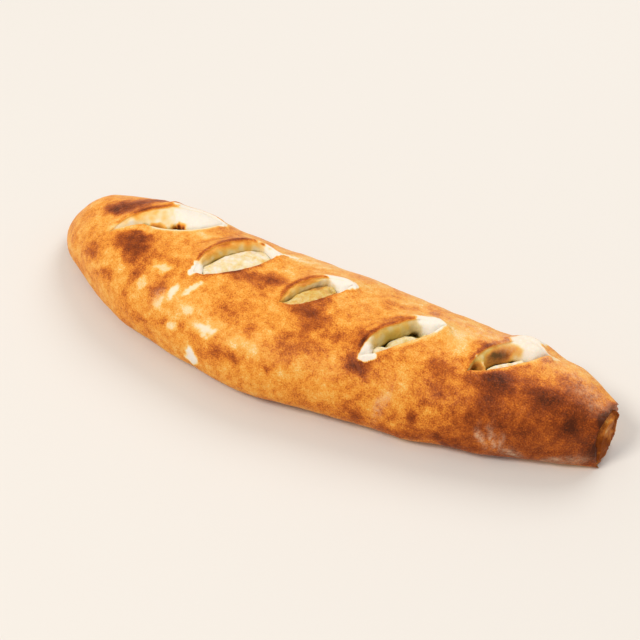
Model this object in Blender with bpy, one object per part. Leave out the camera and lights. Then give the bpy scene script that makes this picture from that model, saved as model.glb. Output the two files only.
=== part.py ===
"""A baked stromboli: a rolled dough crust round a cheese filling, open at one end and slit five times on top.

The loaf lies along X with its closed round end at -X. +Y is its far side, and its flat underside is on Z = 0.
Sizes here are in millimetres, and turn to metres as each point is placed.
"""

import math
from collections import namedtuple

import bmesh
import bpy
from mathutils import Vector, noise

MM = 0.001

# The loaf's outline: place along it, its near edge, its far edge and its height
Station = namedtuple("Station", "along near far height")
STATIONS = [
    Station(-177.5, -22, 27, 26),
    Station(-150, -38, 23, 38.5),
    Station(-110, -62.5, 22.5, 45.5),
    Station(-60, -77, 20, 47.5),
    Station(-10, -85, 19, 48),
    Station(40, -79, 17, 48),
    Station(85, -72, 14.5, 46),
    Station(125, -63.5, 11.5, 43),
    Station(160, -50.5, 6, 41),
    Station(187, -37.5, -8, 35),
]
NOSE_TIP = STATIONS[0].along
OPEN_END = STATIONS[-1].along
NOSE_LENGTH = 28
NOSE_ROUNDNESS = 2.5
NOSE_SLOPE = 58
NOSE_SLOPE_ROUNDNESS = 2.2
MIDDLE = Vector((5.37, -30.95, 0))

# The rounded section: how square it is above and below its widest level, and how deep the floor cuts into it
ROUND_ABOVE = 2.25
ROUND_ABOVE_END = 3.0
ROUND_BELOW = 3.2
WIDEST_LEVEL = 0.36
FLATTENED = 1.5
END_SHAPING = 45

# Dough: its thickness, and at the open end, where it is rolled thin
WALL = 6.5
WALL_AT_END = 3.4
WALL_TAPER = 30
HOLLOW_PAST_END = 12
GAP = 0.7

# Unevenness of the baked skin
LUMP_SIZE = 30
LUMP_RISE = 0.9
FINE_LUMP_SIZE = LUMP_SIZE / 2.3
FINE_LUMP_RISE = LUMP_RISE / 2
RIM_BITE = 6
RIM_RAGGED = 1.3
RIM_SLANT = 4.0

# Slits: middle, length and turn from the loaf's length, the far and near lips' distance from that line
# and where along it each is widest, the far lip's rise, the distance and depth of the far wall's foot,
# and the cheese's depth under the near and far lips. The cheese under the last one dips into a hollow
Slit = namedtuple(
    "Slit",
    "along across length turn far far_widest near near_widest rise foot depth near_cheese far_cheese",
)
SLITS = [
    Slit(-103, -24, 52, 23, 17.5, 6, 2, 0, 2.8, 2.5, 2.5, 3, 4.5),
    Slit(-40.5, -28, 53, 48, 17, 5, 8, -6, 4.5, 11, 1.5, 0.8, 2),
    Slit(13.5, -31, 44, 47, 11, 2, 6, -9, 3.5, 7, 1.5, 1, 2),
    Slit(71.5, -40, 51, 51, 10.5, 2, 3.5, -7, 4.2, 4, 3, 1.2, 4),
    Slit(127.5, -26, 46, 45, 14, 3, 2, -8, 2.8, 6.5, 1.5, 12, 15),
]
NEAR_RISE = 0.6
LIP_REACH = 8.0
LENS_ROUNDNESS = 2.2
LENS_POINT = 0.9
CUT_BELOW = 16.0
CUT_ABOVE = 12.0
CUT_SPREAD = 1.3
MOUND_DOME = 1.0
HOLLOW_REACH = 13.0
HOLLOW_NARROWER = 1.4
HOLLOW_DEPTH = 8.0
HOLLOW_ABOVE = 20
LID_INSET = 0.45
TIP_GAPS = 3

# Swells of stretched dough: middle, height of the middle, how far it reaches and how far it stands out
Swell = namedtuple("Swell", "along across up reach rise")
SWELLS = [
    Swell(-88, 7, 41, 11, 2.4),
    Swell(-75, 4, 42, 12, 2.0),
    Swell(134, 1, 37, 12, 4.8),
    Swell(57, -56, 43, 8, 1.8),
    Swell(86, -21, 45, 8, 2.0),
    Swell(27, -15, 46, 7, 1.5),
    Swell(-22, -9, 45, 7, 1.2),
    Swell(142, -13, 41, 6, 1.5),
    Swell(88, -68, 4, 13, 2.0),
]

# The plug of baked cheese in the open end
PLUG_RECESS = 3.5
PLUG_CRAG = 2.2
CRAG_SIZE = 7.0

# How finely the skin and the inside are divided
NOSE_RINGS = 10
RINGS = 58
TURNS = 44
FINE_REACH = 7.0
INSIDE_RINGS = 30
INSIDE_TURNS = 22
CUT_STEPS = 14
MERGE = 0.00001
SHARP_ANGLE = math.radians(40)

CRUST_COLOUR = (0.58, 0.24, 0.06, 1)
CHEESE_COLOUR = (0.80, 0.68, 0.38, 1)


def clear_scene():
    for obj in list(bpy.data.objects):
        bpy.data.objects.remove(obj)


def smooth(low, high, value):
    t = min(max((value - low) / (high - low), 0), 1)
    return t * t * (3 - 2 * t)


def follow(along, name):
    """A smooth curve through one of the stations' sizes."""
    places = [s.along for s in STATIONS]
    sizes = [getattr(s, name) for s in STATIONS]
    last = len(places) - 1
    at = min(max(along, places[0]), places[last])
    k = max(i for i in range(last) if places[i] <= at)

    def slope(i):
        a, b = max(i - 1, 0), min(i + 1, last)
        return (sizes[b] - sizes[a]) / (places[b] - places[a])

    span = places[k + 1] - places[k]
    t = (at - places[k]) / span
    start = (2 * t**3 - 3 * t**2 + 1) * sizes[k] + (t**3 - 2 * t**2 + t) * span * slope(k)
    end = (3 * t**2 - 2 * t**3) * sizes[k + 1] + (t**3 - t**2) * span * slope(k + 1)
    return start + end


def nose(along, length, roundness):
    """How much of its full size the loaf has this far into its round end."""
    t = min(max((along - NOSE_TIP) / length, 0), 1)
    return (1 - (1 - t) ** roundness) ** (1 / roundness)


def section(along, inset=0.0):
    """Middle, half width, widest level, rise above it and drop below it of the loaf's section."""
    near, far, height = (follow(along, name) for name in ("near", "far", "height"))
    wide = nose(along - inset, NOSE_LENGTH, NOSE_ROUNDNESS)
    tall = nose(along - inset, NOSE_SLOPE, NOSE_SLOPE_ROUNDNESS)
    level = WIDEST_LEVEL * height
    half = (far - near) / 2 * wide - inset
    rise = (height - level) * tall - inset
    drop = (level + FLATTENED) * tall
    return (near + far) / 2, half, level, rise, drop


def power(value, exponent):
    return math.copysign(abs(value) ** exponent, value)


def on_section(along, turn, inset=0.0):
    """A point of the section and the way out from it. A turn of 0 is the far side, a quarter turn the top."""
    middle, half, level, rise, drop = section(along, inset)
    above = ROUND_ABOVE + (ROUND_ABOVE_END - ROUND_ABOVE) * smooth(OPEN_END - END_SHAPING, OPEN_END, along)
    high = math.sin(turn) >= 0
    square = above if high else ROUND_BELOW
    tall = rise if high else drop
    across = power(math.cos(turn), 2 / square)
    up = power(math.sin(turn), 2 / square)
    out = Vector((0, power(across, square - 1) / half, power(up, square - 1) / tall))
    return Vector((along, middle + half * across, level + tall * up)), out.normalized()


def top_height(along, across):
    """Height of the smooth loaf above a place on the floor."""
    middle, half, level, rise, _ = section(along)
    off = min(abs(across - middle) / half, 0.98)
    return level + rise * (1 - off**ROUND_ABOVE) ** (1 / ROUND_ABOVE)


def slit_place(slit, along, across):
    """A place on the floor measured along and across a slit."""
    c, s = math.cos(math.radians(slit.turn)), math.sin(math.radians(slit.turn))
    x, y = along - slit.along, across - slit.across
    return x * c + y * s, y * c - x * s


def from_slit(slit, p, q):
    c, s = math.cos(math.radians(slit.turn)), math.sin(math.radians(slit.turn))
    return slit.along + p * c - q * s, slit.across + p * s + q * c


def lens(slit, p, widest):
    """Share of a lip's widest opening at p along the slit, 0 at both its ends."""
    reach = slit.length / 2 - widest if p > widest else slit.length / 2 + widest
    return max(1 - min(abs(p - widest) / reach, 1) ** LENS_ROUNDNESS, 0) ** LENS_POINT


def lip_rise(slit, p, q):
    """How far the torn lips lift the skin. The far lip curls up most."""
    far_open = lens(slit, p, slit.far_widest)
    near_open = lens(slit, p, slit.near_widest)
    from_far = (q - slit.far * far_open) / LIP_REACH
    from_near = (q + slit.near * near_open) / LIP_REACH
    far_lift = slit.rise * math.sqrt(far_open) * math.exp(-(from_far**2))
    near_lift = NEAR_RISE * math.sqrt(near_open) * math.exp(-(from_near**2))
    return max(far_lift, near_lift)


def relief(point, out):
    """How far the skin stands out from the smooth loaf."""
    lumps = noise.noise(point / LUMP_SIZE) * LUMP_RISE + noise.noise(point / FINE_LUMP_SIZE) * FINE_LUMP_RISE
    lips = sum(lip_rise(s, *slit_place(s, point.x, point.y)) for s in SLITS)
    swells = 0
    for swell in SWELLS:
        away = (point - Vector((swell.along, swell.across, swell.up))).length
        swells += swell.rise * math.exp(-((away / swell.reach) ** 2))
    return lumps + lips * smooth(0.1, 0.5, out.z) + swells


def end_place(turn):
    """Where the open end's rim lies along the loaf: it slants back on its near side, and its edge is torn."""
    near_top = max(math.sin(turn), 0) * (0.6 - 0.4 * math.cos(turn))
    torn = noise.noise(Vector((math.cos(turn), math.sin(turn), 0)) * 20 / RIM_BITE)
    return OPEN_END - RIM_SLANT * near_top + RIM_RAGGED * torn


def skin_point(u, v):
    """A place on the baked skin: u runs along the loaf, and v round it from under the loaf and back."""
    nose_share = NOSE_RINGS / RINGS
    if u < nose_share:
        swing = math.pi / 2 * (0.08 + 0.92 * u / nose_share)
        along = NOSE_TIP + NOSE_SLOPE * (1 - math.cos(swing))
    else:
        start = NOSE_TIP + NOSE_SLOPE
        along = start + (OPEN_END - start) * (u - nose_share) / (1 - nose_share)
    turn = 2 * math.pi * v - math.pi / 2
    point, out = on_section(along, turn)
    point += out * relief(point, out)
    point.x += (end_place(turn) - OPEN_END) * smooth(OPEN_END - RIM_BITE * 3, OPEN_END, along)
    return point


def inside_point(u, v, inset_more=0.0):
    """A place on the wall of the space inside the dough, or that much further in."""
    start = NOSE_TIP + WALL * 2
    along = start + (OPEN_END + HOLLOW_PAST_END - start) * u
    wall = WALL + (WALL_AT_END - WALL) * smooth(OPEN_END - WALL_TAPER, OPEN_END, along) + inset_more
    turn = 2 * math.pi * v - math.pi / 2
    point, _ = on_section(along, turn, wall)
    point.z = max(point.z, wall)
    return point


def to_metres(point):
    return (point - MIDDLE) * MM


def close_roll(mesh, place):
    """Rolls a flat sheet of unit size into a loaf, each corner to its place, and closes its two ends."""
    for vert in mesh.verts:
        vert.co = to_metres(place(vert.co.x, vert.co.y))
    bmesh.ops.remove_doubles(mesh, verts=mesh.verts, dist=MERGE)
    bmesh.ops.holes_fill(mesh, edges=mesh.edges, sides=0)
    bmesh.ops.triangulate(mesh, faces=mesh.faces)
    bmesh.ops.recalc_face_normals(mesh, faces=mesh.faces)


def flat_sheet(rings, turns):
    mesh = bmesh.new()
    bmesh.ops.create_grid(mesh, x_segments=rings, y_segments=turns, size=0.5)
    bmesh.ops.translate(mesh, verts=mesh.verts, vec=(0.5, 0.5, 0))
    return mesh


def near_a_slit(point):
    for slit in SLITS:
        p, q = slit_place(slit, point.x, point.y)
        if abs(p) < slit.length / 2 + FINE_REACH and -slit.near - FINE_REACH < q < slit.far + FINE_REACH:
            return point.z > WIDEST_LEVEL * slit.length
    return False


def divide_near_slits(mesh):
    close = set()
    for face in mesh.faces:
        middle = face.calc_center_median()
        if near_a_slit(skin_point(middle.x, middle.y)):
            close.update(face.edges)
    bmesh.ops.subdivide_edges(mesh, edges=list(close), cuts=1, use_grid_fill=True)


def flatten_underside(mesh):
    everything = mesh.verts[:] + mesh.edges[:] + mesh.faces[:]
    cut = bmesh.ops.bisect_plane(
        mesh, geom=everything, dist=MERGE, plane_co=(0, 0, 0), plane_no=(0, 0, -1), clear_outer=True
    )
    rim = [item for item in cut["geom_cut"] if isinstance(item, bmesh.types.BMEdge)]
    bmesh.ops.edgeloop_fill(mesh, edges=rim)
    bmesh.ops.recalc_face_normals(mesh, faces=mesh.faces)


def material(name, colour, roughness):
    new = bpy.data.materials.new(name)
    new.use_nodes = True
    shader = new.node_tree.nodes["Principled BSDF"]
    shader.inputs["Base Color"].default_value = colour
    shader.inputs["Roughness"].default_value = roughness
    shader.inputs["Metallic"].default_value = 0
    return new


def add_object(name, mesh):
    data = bpy.data.meshes.new(name)
    mesh.to_mesh(data)
    mesh.free()
    obj = bpy.data.objects.new(name, data)
    bpy.context.scene.collection.objects.link(obj)
    return obj


def combine(obj, other, operation):
    """Applies a Boolean with another object, which is used up."""
    modifier = obj.modifiers.new(operation, "BOOLEAN")
    modifier.operation = operation
    modifier.object = other
    bpy.context.view_layer.update()
    done = bpy.data.meshes.new_from_object(obj.evaluated_get(bpy.context.evaluated_depsgraph_get()))
    obj.modifiers.clear()
    obj.data = done
    bpy.data.objects.remove(other)


def far_wall(slit, p, height):
    """Distance of a slit's far wall from its line. It slopes from the lip down to its foot, then drops."""
    share = min(max((height + slit.depth) / (slit.rise + slit.depth), 0), CUT_SPREAD)
    return (slit.foot + (slit.far - slit.foot) * share) * lens(slit, p, slit.far_widest)


def slit_block(slit, name, levels, gap=0.0, dome=0.0):
    """A block with a slit's outline, and a ring at each level's near and far heights over the smooth loaf."""
    mesh = bmesh.new()
    ring = bmesh.ops.create_circle(mesh, segments=CUT_STEPS * 2, radius=1)["verts"]
    edges = mesh.edges[:]
    for _ in levels[1:]:
        grown = bmesh.ops.extrude_edge_only(mesh, edges=edges)["geom"]
        ring = [item for item in grown if isinstance(item, bmesh.types.BMVert)]
        edges = [item for item in grown if isinstance(item, bmesh.types.BMEdge)]
        bmesh.ops.translate(mesh, verts=ring, vec=(0, 0, 1))
    bmesh.ops.holes_fill(mesh, edges=mesh.edges, sides=0)
    lid = max(mesh.faces, key=lambda face: face.calc_center_median().z)
    bmesh.ops.inset_region(mesh, faces=[lid], thickness=LID_INSET)
    for vert in mesh.verts:
        x, y, level = vert.co
        near_height, far_height = levels[round(level)]
        p = x * (slit.length / 2 - gap * TIP_GAPS)
        side = min(max(y / max(math.sqrt(max(1 - x * x, 0)), 0.001), -1), 1)
        near = -slit.near * lens(slit, p, slit.near_widest)
        far = far_wall(slit, p, far_height)
        q = (near + far) / 2 + max((far - near) / 2 - gap, 0.05) * side
        along, across = from_slit(slit, p, q)
        height = (near_height + far_height) / 2 + (far_height - near_height) / 2 * side
        if vert.co.z > len(levels) - 1.5:
            height += dome * (1 - x * x - y * y)
        vert.co = to_metres(Vector((along, across, top_height(along, across) + height)))
    bmesh.ops.triangulate(mesh, faces=mesh.faces)
    bmesh.ops.recalc_face_normals(mesh, faces=mesh.faces)
    return add_object(name, mesh)


def cut_slit(crust, slit):
    heights = (-CUT_BELOW, -slit.depth, slit.rise, CUT_ABOVE)
    combine(crust, slit_block(slit, "slit_cut", [(h, h) for h in heights]), "DIFFERENCE")


def add_mound(filling, slit):
    """Cheese risen into a slit, highest under its near lip."""
    levels = [(-CUT_BELOW, -CUT_BELOW), (-slit.near_cheese, -slit.far_cheese)]
    combine(filling, slit_block(slit, "mound", levels, GAP, MOUND_DOME), "UNION")


def make_crust():
    skin = flat_sheet(RINGS, TURNS)
    divide_near_slits(skin)
    close_roll(skin, skin_point)
    flatten_underside(skin)
    crust = add_object("crust", skin)
    hollow = flat_sheet(INSIDE_RINGS, INSIDE_TURNS)
    close_roll(hollow, inside_point)
    combine(crust, add_object("hollow", hollow), "DIFFERENCE")
    for slit in SLITS:
        cut_slit(crust, slit)
    crust.data.materials.append(material("baked_crust", CRUST_COLOUR, 0.6))
    crust.data.shade_smooth()
    crust.data.set_sharp_from_angle(angle=SHARP_ANGLE)


def filling_point(u, v):
    """The filling fills the space inside, but for a gap, a dip under the last slit and its rough open end."""
    point = inside_point(u, v, GAP)
    hollow = SLITS[-1]
    p, q = slit_place(hollow, point.x, point.y - hollow.far / 2)
    dip = HOLLOW_DEPTH * math.exp(-(p**2 + (HOLLOW_NARROWER * q) ** 2) / HOLLOW_REACH**2)
    if point.z > HOLLOW_ABOVE:
        point.z -= dip
    crag = PLUG_CRAG * noise.noise(Vector((0, point.y, point.z)) / CRAG_SIZE)
    point.x = min(point.x, OPEN_END - PLUG_RECESS + crag)
    return point


def make_filling():
    core = flat_sheet(INSIDE_RINGS, INSIDE_TURNS)
    close_roll(core, filling_point)
    filling = add_object("cheese_filling", core)
    for slit in SLITS[:-1]:
        add_mound(filling, slit)
    filling.data.materials.append(material("baked_cheese", CHEESE_COLOUR, 0.4))
    filling.data.shade_smooth()
    filling.data.set_sharp_from_angle(angle=SHARP_ANGLE)


clear_scene()
make_crust()
make_filling()
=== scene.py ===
from math import copysign, cos, degrees, exp, hypot, pi, radians, sin, sqrt

import bmesh
import bpy
import numpy as np
from mathutils import Matrix, Vector, kdtree, noise


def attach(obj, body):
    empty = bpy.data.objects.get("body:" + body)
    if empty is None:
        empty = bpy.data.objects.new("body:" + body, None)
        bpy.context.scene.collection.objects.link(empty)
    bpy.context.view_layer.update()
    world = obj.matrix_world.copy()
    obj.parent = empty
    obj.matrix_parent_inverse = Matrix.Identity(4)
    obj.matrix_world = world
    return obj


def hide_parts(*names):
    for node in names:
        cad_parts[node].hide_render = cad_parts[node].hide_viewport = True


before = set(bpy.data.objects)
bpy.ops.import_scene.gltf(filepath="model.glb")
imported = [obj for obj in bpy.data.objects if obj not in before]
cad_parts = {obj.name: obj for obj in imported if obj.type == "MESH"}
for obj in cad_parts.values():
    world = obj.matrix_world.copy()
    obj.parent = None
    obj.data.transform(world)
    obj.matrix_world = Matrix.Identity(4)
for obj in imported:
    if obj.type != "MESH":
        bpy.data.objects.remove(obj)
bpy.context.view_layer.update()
noise.seed_set(1)  # without it noise_vector starts from the clock, and the marks differ from run to run
print("stage: frame loaded")

mm = 0.001

# The loaf's form in mm. The open end's top is drawn a little lower than the frame's solid has it
loafForm = {
    # along, near edge, far edge, height
    "stations": (
        (-177.5, -22, 27, 26),
        (-150, -38, 23, 38.5),
        (-110, -62.5, 22.5, 45.5),
        (-60, -77, 20, 47.5),
        (-10, -85, 19, 48),
        (40, -79, 17, 48),
        (85, -72, 14.5, 46),
        (125, -63.5, 11.5, 43),
        (160, -50.5, 6, 41),
        (187, -37.5, -9, 32.3),
    ),
    "middle": (5.37, -30.95, 0),
    "noseLength": 28,
    "noseRoundness": 2.5,
    "noseSlope": 58,
    "noseSlopeRoundness": 2.2,
    "roundAbove": 2.25,
    "roundAboveEnd": 3.0,
    "roundBelow": 3.2,
    "widestLevel": 0.36,
    "flattened": 1.5,
    "endShaping": 45,
    "wall": 6.5,
    "wallAtEnd": 3.4,
    "wallTaper": 30,
    "hollowPastEnd": 12,
}

# The five slits from left to right: each row holds one value for each, in mm along and across the slit
slitRows = {
    "along": (-97.7, -40.5, 13.5, 71.5, 127.5),
    "across": (-14.2, -28, -31, -40, -26),
    "length": (69, 53, 46, 54, 49),
    "turn": (35, 48, 47, 51, 45),  # from the loaf's length, in degrees
    "roundness": (2.3, 2.2, 2.2, 2.8, 2.4),
    "far": (16, 17, 11, 10, 15),  # how far each lip opens from the slit's line, and where it opens widest
    "farWidest": (10, 5, 2, 2, 9),
    "near": (10, 8, 6, 3.5, 2.6),
    "nearWidest": (12, -6, -9, -7, -8),
    "nearFrom": (-13, -26.5, -23, -27, -24),  # where the near lip starts to open
    "rise": (2, 4.5, 3.5, 3.6, 2.8),  # of the far lip
    "foot": (5, 19.5, 13, 8, 9.5),  # the far wall's foot: how far from the near lip, how deep and undercut
    "depth": (3, 1.8, 1.2, 3.5, 5.5),
    "undercut": (1.5, 2.5, 1, 2, 2),
    "nearCheese": (2, 0.8, 1, 0.4, 1.2),  # how deep the cheese lies under each lip
    "farCheese": (4, 1.4, 1.4, 2.6, 8),
    "ledge": (0, 0.3, 0, 0.4, 0.3),  # share of the way over which the cheese stays level
    "crevice": (0.8, 0.3, 0, 0.4, 0.8),  # between the cheese and the far wall
    # raw dough closes an end: where it starts and is complete, how far it puffs up, how far across it's white
    "closings": (
        ((2, 12, 3.2, 99),), ((-18, -23, 0.6, 5), (17, 23, 1, 99)), ((9, 14, 1.6, 99),),
        ((-15, -21, 1.4, 3), (10, 18, 2.4, 99)), ((4, 14, 3.2, 99),),
    ),
    # strands of it across the slit: where, how wide, how complete, and how far across they are pale
    "strands": ((), (), (), (), ((-13.5, 1.7, 0.7, 6),)),
    # pits in the cheese: along and across the slit, reach and depth
    "pits": (
        ((7, -5, 3.5, 7), (-4, -1, 2, 2)), (), ((-17, 3.5, 1.8, 5), (9, 0.8, 1.6, 3)),
        ((10, 2, 4, 4), (-10, 2, 2.5, 4)), ((-19, 3, 3, 3),),
    ),
    # notches in the wall's foot: where, how wide and how deep
    "notches": (((7, 2.6, 5), (-4, 2, 1.5)), (), (), ((9, 3, 1.5),), ((-18.5, 2.5, 3),)),
}
slits = [dict(zip(slitRows, values)) for values in zip(*slitRows.values())]
slitForm = {
    "line": 0.03,  # a corner this close to a slit's line is on it
    "topFrom": 0.4,  # the turn from the far side at which the top begins, in radians
    "nearRise": 0.6,
    "lipReach": 8,
    "point": 0.9,
    "cutBelow": 16,
    "farSpread": 24,
    "nearSpread": 18,
    "spreadFades": (30, 43),
    "lipRound": 1.0,
    "lipRoundShare": 0.3,  # of the gape at most
    "lipSteps": ((30, 0.12), (60, 0.24), (90, 0.36)),  # degrees round the lip, and how deep in the dough
    "dropSteps": (0.3, 1),
    "wallRings": 10,
    "wallBulge": 0.9,
    "wallFolds": 0.6,
    "foldLength": 3,
    "deepFrom": 3,  # the gape from which the wall is as deep as given, and from which it has its full bulge
    "fullFrom": 10,
    "softenings": 14,
    "softReach": 5,
    "softAbove": 25,
    "softFrom": 0.4,  # how closed the slit must be there
    "softCrumb": 0.88,  # how deep in the dough the softening ends
}

# Stretched dough and crags: along, across, height of the middle, reach and rise
swells = (
    (-88, 7, 41, 11, 1.4), (-75, 4, 42, 12, 2), (134, 1, 37, 12, 4.8), (57, -56, 43, 8, 1.2),
    (86, -21, 45, 8, 2), (27, -15, 46, 7, 1.5), (-22, -9, 45, 7, 1.2), (142, -13, 41, 6, 1.5),
    (88, -68, 4, 13, 2), (-104, 5, 44, 5, 2.2), (121, -7, 44, 4, 1.5), (-158, -5, 33, 14, 2.8),
    (-113, 8, 42, 15, 2.2),
)

noseTip = loafForm["stations"][0][0]
openEnd = loafForm["stations"][-1][0]
hollowStart = noseTip + loafForm["wall"] * 2
hollowEnd = openEnd + loafForm["hollowPastEnd"]
middle = Vector(loafForm["middle"])


def smooth(low, high, value):
    t = min(max((value - low) / (high - low), 0), 1)
    return t * t * (3 - 2 * t)


def bell(away):
    # 1 in the middle, 0.37 at a distance of 1 and almost nothing at 2
    return exp(-(away**2))


def cosSin(angle=0):
    # the cosine and sine of an angle in degrees
    return cos(radians(angle)), sin(radians(angle))


def power(value, exponent):
    return copysign(abs(value) ** exponent, value)


def follow(along, column):
    # a smooth curve through one column of the stations
    stations = loafForm["stations"]
    last = len(stations) - 1
    at = min(max(along, noseTip), openEnd)
    k = max(i for i in range(last) if stations[i][0] <= at)

    def slope(i):
        a, b = stations[max(i - 1, 0)], stations[min(i + 1, last)]
        return (b[column] - a[column]) / (b[0] - a[0])

    span = stations[k + 1][0] - stations[k][0]
    t = (at - stations[k][0]) / span
    start = (2 * t**3 - 3 * t**2 + 1) * stations[k][column] + (t**3 - 2 * t**2 + t) * span * slope(k)
    end = (3 * t**2 - 2 * t**3) * stations[k + 1][column] + (t**3 - t**2) * span * slope(k + 1)
    return start + end


def nose(along, length, roundness):
    t = min(max((along - noseTip) / length, 0), 1)
    return (1 - (1 - t) ** roundness) ** (1 / roundness)


def section(along, inset=0.0):
    near, far, height = (follow(along, column) for column in (1, 2, 3))
    wide = nose(along - inset, loafForm["noseLength"], loafForm["noseRoundness"])
    tall = nose(along - inset, loafForm["noseSlope"], loafForm["noseSlopeRoundness"])
    level = loafForm["widestLevel"] * height
    half = (far - near) / 2 * wide - inset
    rise = (height - level) * tall - inset
    return (near + far) / 2, half, level, rise, (level + loafForm["flattened"]) * tall


def squareAbove(along):
    change = loafForm["roundAboveEnd"] - loafForm["roundAbove"]
    return loafForm["roundAbove"] + change * smooth(openEnd - loafForm["endShaping"], openEnd, along)


def onSection(along, turn, inset=0.0):
    # a turn of 0 is the far side, and a quarter turn the top
    centre, half, level, rise, drop = section(along, inset)
    high = sin(turn) >= 0
    square = squareAbove(along) if high else loafForm["roundBelow"]
    tall = rise if high else drop
    across = power(cos(turn), 2 / square)
    up = power(sin(turn), 2 / square)
    out = Vector((0, power(across, square - 1) / half, power(up, square - 1) / tall))
    return Vector((along, centre + half * across, level + tall * up)), out.normalized()


def onTop(along, across):
    # the smooth skin above a place on the floor, and the way out from it
    centre, half, level, rise, _ = section(along)
    square = squareAbove(along)
    off = min(max((across - centre) / half, -0.995), 0.995)
    up = (1 - abs(off) ** square) ** (1 / square)
    out = Vector((0, power(off, square - 1) / half, up ** (square - 1) / rise))
    return Vector((along, across, level + rise * up)), out.normalized()


def slitPlace(slit, along, across):
    c, s = cosSin(slit["turn"])
    x, y = along - slit["along"], across - slit["across"]
    return x * c + y * s, y * c - x * s


def fromSlit(slit, p, q):
    c, s = cosSin(slit["turn"])
    return slit["along"] + p * c - q * s, slit["across"] + p * s + q * c


def lens(slit, p, side):
    # share of a lip's widest opening, 0 at both ends of the slit
    widest = slit[side + "Widest"]
    start = slit["nearFrom"] if side == "near" else -slit["length"] / 2
    reach = slit["length"] / 2 - widest if p > widest else widest - start
    return max(1 - min(abs(p - widest) / reach, 1) ** slit["roundness"], 0) ** slitForm["point"]


def closing(slit, p):
    # how far raw dough closes the slit here, how far it puffs up, and up to where across the slit it's white
    share, puff, whiteTo = 0, 0, 0
    for start, full, height, stop in slit["closings"]:
        if smooth(start, full, p) > share:
            share, puff, whiteTo = smooth(start, full, p), height, stop
    for place, width, complete, stop in slit["strands"]:
        strand = complete * bell((p - place) / width)
        if strand > share:
            share, whiteTo = strand, stop
    return share, puff, whiteTo


def lipsAt(slit, p):
    # how open each lip is here, far and near, and where across the slit it lies
    farOpen, nearOpen = lens(slit, p, "far"), lens(slit, p, "near")
    return farOpen, nearOpen, slit["far"] * farOpen, -slit["near"] * nearOpen


def lipRise(slit, p, q):
    farOpen, nearOpen, farLip, nearLip = lipsAt(slit, p)
    farLift = slit["rise"] * sqrt(farOpen) * bell((q - farLip) / slitForm["lipReach"])
    return max(farLift, slitForm["nearRise"] * sqrt(nearOpen) * bell((q - nearLip) / slitForm["lipReach"]))


# Unevenness of the skin, coarse to fine: size of the lumps and how far they stand out, in mm
lumps = ((30, 0.9), (13, 0.45), (7, 0.22), (3.6, 0.12))


def relief(point, out):
    rise = sum(noise.noise(point / size) * height for size, height in lumps)
    lips = sum(lipRise(s, *slitPlace(s, point.x, point.y)) for s in slits)
    for along, across, up, reach, height in swells:
        rise += height * bell((point - Vector((along, across, up))).length / reach)
    return rise + lips * smooth(0.1, 0.5, out.z)


# The skin as a sheet: rows of about 1.3 mm along and round the loaf, wider ones underneath
crustForm = {
    "noseRings": 46,
    "rings": 282,
    "turns": 146,
    "underneathShare": 0.22,
    "fineReach": 8,
    "merge": 0.004,
    "rimRagged": 1.3,
    "rimRadius": 20,
    "rimBites": (6, 2.5),
    "rimReach": 18,
    # how far the rim leans back at each turn round it, in degrees from the far side
    "rimBack": (
        (-90, 0), (0, 0), (60, 1), (90, 2.2), (135, 3.8), (165, 3.6), (190, 1.6), (215, 0.3), (270, 0),
    ),
    "insideRings": 60,
    "insideTurns": 72,
    "insideLumps": 0.5,
    "insideLumpSize": 8,
}


def evenTurns():
    # spreads the sheet's rows evenly round the loaf's middle section
    turns = np.linspace(-pi / 2, 1.5 * pi, 1441)
    points = [onSection(0, turn)[0] for turn in turns]
    steps = [0]
    for a, b in zip(points, points[1:]):
        steps.append((b - a).length * (crustForm["underneathShare"] if max(a.z, b.z) < 0.5 else 1))
    run = np.cumsum(steps)
    return run / run[-1], turns


turnShares, turnValues = evenTurns()


def alongAt(u):
    noseShare = crustForm["noseRings"] / crustForm["rings"]
    if u < noseShare:
        swing = pi / 2 * (0.03 + 0.97 * u / noseShare)
        return noseTip + loafForm["noseSlope"] * (1 - cos(swing))
    start = noseTip + loafForm["noseSlope"]
    return start + (openEnd - start) * (u - noseShare) / (1 - noseShare)


def flatSheet(rings, turns):
    mesh = bmesh.new()
    bmesh.ops.create_grid(mesh, x_segments=rings, y_segments=turns, size=0.5)
    bmesh.ops.translate(mesh, verts=mesh.verts, vec=(0.5, 0.5, 0))
    return mesh


def onTopHalf(turn):
    return slitForm["topFrom"] < turn < pi - slitForm["topFrom"]


def nearLine(slit, co, reach):
    # whether a place (along, across, turn) is on the top and close to a slit's line
    p, q = slitPlace(slit, co.x, co.y)
    return onTopHalf(co.z) and abs(p) < slit["length"] / 2 + reach and abs(q) < reach


def openSlits(mesh):
    # divides the sheet near the slits, cuts it along each one's line and splits it there
    close = [e for e in mesh.edges if any(nearLine(s, e.verts[0].co, crustForm["fineReach"]) for s in slits)]
    bmesh.ops.subdivide_edges(mesh, edges=close, cuts=1, use_grid_fill=True)
    for slit in slits:
        faces = [f for f in mesh.faces if any(nearLine(slit, v.co, 2) for v in f.verts)]
        edges = {e for f in faces for e in f.edges}
        verts = {v for f in faces for v in f.verts}
        c, s = cosSin(slit["turn"])
        bmesh.ops.bisect_plane(
            mesh, geom=[*faces, *edges, *verts], dist=0.02,
            plane_co=(slit["along"], slit["across"], 0), plane_no=(-s, c, 0)
        )
        cut = []
        for edge in mesh.edges:
            ends = [slitPlace(slit, v.co.x, v.co.y) for v in edge.verts]
            onLine = all(abs(q) < slitForm["line"] and abs(p) < slit["length"] / 2 for p, q in ends)
            if onLine and onTopHalf(edge.verts[0].co.z):
                cut.append(edge)
        bmesh.ops.split_edges(mesh, edges=cut)


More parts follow.
